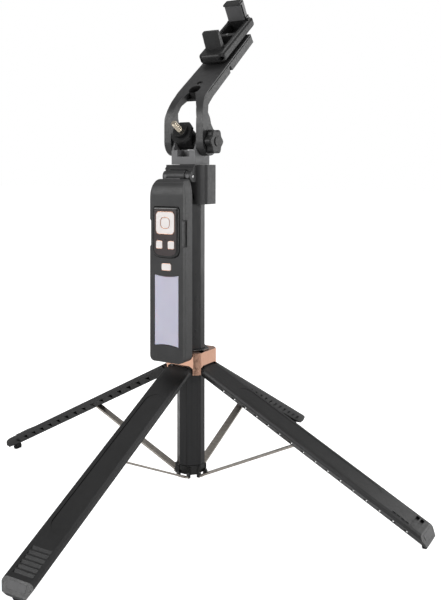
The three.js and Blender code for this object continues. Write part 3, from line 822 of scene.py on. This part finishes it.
def build_arm():
    """The arm, with its screw hole, the pocket over the fork lined in black as painted shade, side grooves and
    notches.
    """
    matrix = slope_matrix()
    piece = copy_of("head_arm", "head_arm_fine")
    soften(piece, 1.3, 3)
    piece.data.transform(matrix.inverted())
    carve(piece, [prism("web", rectangle(-9, 9, 1, 9), -10.2, -7.4, along_z)], "UNION")
    cuts = [
        prism("pocket", rounded(-6.6, 6.6, 2.5, 16.5, 5.6), -7.3, 3, along_z),
        prism("screw_hole", circle(0, 22.5, 3.5, 24), -3, 3, along_z),
    ]
    for side in (-1, 1):
        low, high = sorted((side * 15.6, side * 22))
        notch = [(59, -13), (66, -13), (65, -4.5), (61, -4.5)]
        cuts.append(prism("notch", notch, low, high, along_x))
        low, high = sorted((side * 16.0, side * 24))
        groove = [(6, -1.5), (129, -1.5), (129, -2.4), (6, -2.4)]
        cuts.append(prism("groove", groove, low, high, along_x))
    carve(piece, cuts)
    # A black cup inside the pocket: painted shade that darkens the recess.
    pocket_shade = prism("arm_pocket_painted_shade", rounded(-6.5, 6.5, 2.6, 16.4, 5.5), -7.25, -0.8, along_z)
    carve(pocket_shade, [prism("inside", rounded(-6.1, 6.1, 3, 16, 5.2), -6.9, 1, along_z)])
    pocket_shade.data.transform(matrix)
    dress(pocket_shade, "foot_rubber", "body_plastic", "head_arm")
    screw = prism("arm_screw", circle(0, 22.5, 2.7, 24), -2.9, -1.9, along_z)
    soften(screw, 0.3)
    for part in (piece, screw):
        part.data.transform(matrix)
        smooth(part)
    dress(piece, "arm_plastic", "body_plastic", "head_arm", "head_arm")
    dress(screw, "pin_steel", "pin_steel", "head_arm")


def jaw_blank(name, rows, half, top):
    """A jaw's wedge (rows of y, z) with its two upper corners rounded across its width."""
    blank = prism(name, rows, -half, half, along_x)
    corner = 2.6
    right = arc(half - corner, top - corner, corner, 0, 90, 6)
    left = arc(corner - half, top - corner, corner, 90, 180, 6)
    mask = prism("mask", [(half, -30), *right, *left, (-half, -30)], 40, 170, along_y)
    return carve(blank, [mask], "INTERSECT")


def build_clamp():
    """The clamp: two tube-like rails joined into a rounded frame, and its two jaws."""
    matrix = slope_matrix()
    half, start, end, low, high = 16.5, 58, 151, 2.4, 14
    frame_piece = prism("clamp_frame_fine", rounded(-half, half, start, end, 6.5, 8), low, high, along_z)
    soften(frame_piece, 3.4, 5)
    cuts = [
        prism("near_window", rectangle(-9.8, 9.8, 82, 105), low + 1.6, high + 1, along_z),
        prism("far_window", rectangle(-9.8, 9.8, 111, 136.5), low + 1.6, high + 1, along_z),
        prism("swivel", circle(0, 108, 1.9, 20), low - 1, high + 1, along_z),
        prism("trough", rounded(-11, 11, 80, 139, 1), high - 1.1, high + 1, along_z),
    ]
    for x in (-ROD_X, ROD_X):
        slot = rectangle(x - 1.4, x + 1.4, 137, end + 1)
        cuts.append(prism("tube_mouth", circle(x, 8.3, 2.5, 24), start - 1, start + 8, along_y))
        cuts.append(prism("rod_bore", circle(x, ROD_Z, 1.9, 16), 84, end + 1, along_y))
        cuts.append(prism("rod_slot", slot, ROD_Z, high + 1, along_z))
    carve(frame_piece, cuts)
    jaw = jaw_blank("jaw", [(70.5, 12), (74.6, 35), (77.6, 35), (77.6, 12)], 10.4, 35)
    carve(frame_piece, [jaw], "UNION")
    tidy_faces(frame_piece, 0.2)
    soften(frame_piece, 0.5, 2, 50)
    slider = jaw_blank("clamp_jaw_fine", [
        (139.6, 14.3), (145, 14.3), (146.8, 37.8), (138.0, 37.2), (138.0, 34.4), (140.8, 34.2),
    ], 11.8, 37.8)
    carve(slider, [
        prism("foot", rounded(-12.6, 12.6, 139.6, 148, 1.5), 13.6, 17.3, along_z),
        prism("tongue", rectangle(139.8, 144.8, 8.5, 14.5), -10.2, 10.2, along_x),
    ], "UNION")
    for x in (-ROD_X, ROD_X):
        stem = prism("stem", rectangle(x - 1, x + 1, 139.8, 144.8), ROD_Z, 14.6, along_z)
        rod = prism("rod", circle(x, ROD_Z, 1.5, 16), 86, 144.9, along_y)
        carve(slider, [stem, rod], "UNION")
    tidy_faces(slider)
    soften(slider, 0.5, 2)
    for piece in (frame_piece, slider):
        piece.data.transform(matrix)
        smooth(piece)
    dress(frame_piece, "body_plastic", "body_plastic", "clamp", "clamp_frame")
    dress(slider, "gloss_plastic", "body_plastic", "clamp_jaw", "clamp_jaw")
    refine("clamp_pad_fixed", 0.5, "pad_rubber")
    refine("clamp_pad_sliding", 0.5, "pad_rubber")


def build_hub():
    """The mast's foot: short rounded lugs under an eight-sided plug."""
    piece = copy_of("mast_foot_hub", "mast_foot_hub_fine")
    trims = []
    rounding = [(15.2, 24.4), (16.6, 22.6), (17.7, 20.5), (17.7, 10), (30, 10), (30, 40), (15.2, 40)]
    for quarter in range(4):
        shave = prism("shave", rounding, -9, 9, along_x)
        shave.data.transform(Matrix.Rotation(quarter * math.pi / 2, 4, "Z"))
        trims.append(shave)
    carve(piece, trims)
    soften(piece, 0.6)
    dress(piece, "body_plastic", "body_plastic", "mast_base", "mast_foot_hub")


def build_lug_screws():
    """Small domed screw heads on the front of the cap's two hinge lugs."""
    hinge = Vector(joints["light_tilt"]["pos_m"]) / MM
    for name, x in (("left", -14), ("right", 14)):
        outline = circle(x, hinge.z, 2.1, 28)
        head = prism("lug_screw_" + name, outline, hinge.y - 6.5, hinge.y - 5, along_y)
        soften(head, 0.6, 3)
        dress(head, "head_plastic", "head_plastic", "mast_base")


def build_cap_and_collar():
    """The mast's top cap, its hood sloping at the front edge, and the collar."""
    cap = round_uprights(copy_of("mast_top_cap", "mast_top_cap_fine"), 3.2, 24)
    slope = [(-26, 344), (-24.2, 346.4), (-21.5, 349.2), (-18.5, 350.9), (-18.5, 353), (-26, 353)]
    carve(cap, [prism("slope", slope, -19, 19, along_x)])
    soften(cap, 0.8, 3)
    dress(cap, "housing_plastic", "body_plastic", "mast_base", "mast_top_cap")
    collar = round_uprights(copy_of("collar_shell", "collar_shell_fine"), 3.4, 24, 8)
    soften(collar, 0.4, 3)
    dress(collar, "collar_finish", "collar_finish", "collar", "collar_shell")


def build_slot_shade():
    """A black block at the back of the slot under the tilt block: painted shade that darkens the slot."""
    low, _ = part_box("mast_head")
    slot_floor = low.z / MM + 8.5
    outline = rounded(-7.3, 7.3, slot_floor, slot_floor + 6.5, 0.6)
    slot_shade = prism("head_slot_painted_shade", outline, -11, -4.1, along_y)
    soften(slot_shade, 0.3)
    dress(slot_shade, "body_plastic", "body_plastic", "mast_section_5")


def build_knob_cap():
    """A shallow round cap on the knob's outer face."""
    low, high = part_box("pivot_knob")
    centre = (low.z + high.z) / 2 / MM
    outer = high.x / MM
    cap = prism("knob_cap", circle(0, centre, 5.2, 40), outer - 0.4, outer + 0.9, along_x)
    soften(cap, 0.5, 3)
    dress(cap, "body_plastic", "body_plastic", "pivot_knob")


def build_plain_pieces():
    """The pieces that only need their edges rounded."""
    refine("mast_outer_tube", 0.9, segments=3)
    refine("collar_bush", 0.5, "gloss_plastic")
    refine("mast_head", 0.9, "head_plastic", 3)
    refine("pivot_knob", 1.4, segments=4)
    refine("pivot_bolt", 0.5)
    for k in range(1, 6):
        refine("mast_section_%d" % k, 0.4)


def dress_kept_nodes():
    """Gives every CAD node that stays its procedural finish."""
    for name, node in nodes.items():
        if node.hide_render:
            continue
        node.data.materials.clear()
        node.data.materials.append(materials[slot_of[name]])


# ---- studio -------------------------------------------------------------------------------

def area_light(name, location, target, size, power):
    light = bpy.data.objects.new(name, bpy.data.lights.new(name, "AREA"))
    light.data.shape = "RECTANGLE"
    light.data.size, light.data.size_y = size
    light.data.energy = power
    light.location = location
    aim = Vector(target) - Vector(location)
    light.rotation_euler = aim.to_track_quat("-Z", "Y").to_euler()
    bpy.context.scene.collection.objects.link(light)


def camera_share(tree, lighting, seen, socket):
    """Feeds one strength to the rays that light the scene and another to the camera's own."""
    path = tree.nodes.new("ShaderNodeLightPath")
    times = tree.nodes.new("ShaderNodeMath")
    times.operation = "MULTIPLY_ADD"
    times.inputs[1].default_value = seen - lighting
    times.inputs[2].default_value = lighting
    tree.links.new(path.outputs["Is Camera Ray"], times.inputs[0])
    tree.links.new(times.outputs[0], socket)


def make_studio():
    """A pale floor and world, four soft lights and a dark card."""
    bm = bmesh.new()
    bmesh.ops.create_grid(bm, x_segments=2, y_segments=2, size=12)
    floor = new_object("studio_floor", bm)
    material, tree, shader = new_material("pale_floor")
    pale = blended(tree, noise(tree, 2), (0.93, 0.93, 0.93), (0.95, 0.95, 0.95))
    tree.links.new(pale, shader.inputs["Base Color"])
    shader.inputs["Roughness"].default_value = 0.9
    shader.inputs["Specular IOR Level"].default_value = 0.0
    shader.inputs["Emission Color"].default_value = (1, 1, 1, 1)
    camera_share(tree, 0.0, 0.9, shader.inputs["Emission Strength"])
    floor.data.materials.append(material)
    world = bpy.data.worlds.new("studio")
    world.use_nodes = True
    background = world.node_tree.nodes["Background"]
    background.inputs["Color"].default_value = (1, 1, 1, 1)
    camera_share(world.node_tree, 0.25, 1.0, background.inputs["Strength"])
    bpy.context.scene.world = world
    middle = (0, 0, 0.25)
    area_light("front_left", (-0.9, -1.5, 0.9), middle, (0.8, 1.0), 14)
    area_light("back_right", (1.0, 1.5, 0.5), middle, (1.0, 1.3), 9)
    area_light("strip_right", (1.35, -0.62, 0.5), middle, (0.12, 1.2), 6.0)
    area_light("top", (0.1, 0.1, 1.7), (0, 0, 0.2), (1.1, 1.1), 8)
    # The card darkens one reflection in the collar; the camera doesn't see it.
    card = prism("dark_card", rectangle(-22, 22, 1, 220), 0, 3, along_y)
    stand = Matrix.Translation((0.378, -0.264, 0))
    card.data.transform(stand @ Matrix.Rotation(math.radians(55), 4, "Z"))
    black, _, black_shader = new_material("card_black")
    black_shader.inputs["Base Color"].default_value = (0.01, 0.01, 0.01, 1)
    card.data.materials.append(black)
    card.visible_camera = False
    bpy.context.scene.view_settings.view_transform = "Standard"


make_camera()
materials = make_materials()
for leg_side in SIDES:
    build_leg(leg_side)
build_light()
build_remote()
build_tilt_block()
build_camera_screw()
build_arm()
build_clamp()
build_hub()
build_lug_screws()
build_cap_and_collar()
build_slot_shade()
build_knob_cap()
build_plain_pieces()
dress_kept_nodes()
make_studio()
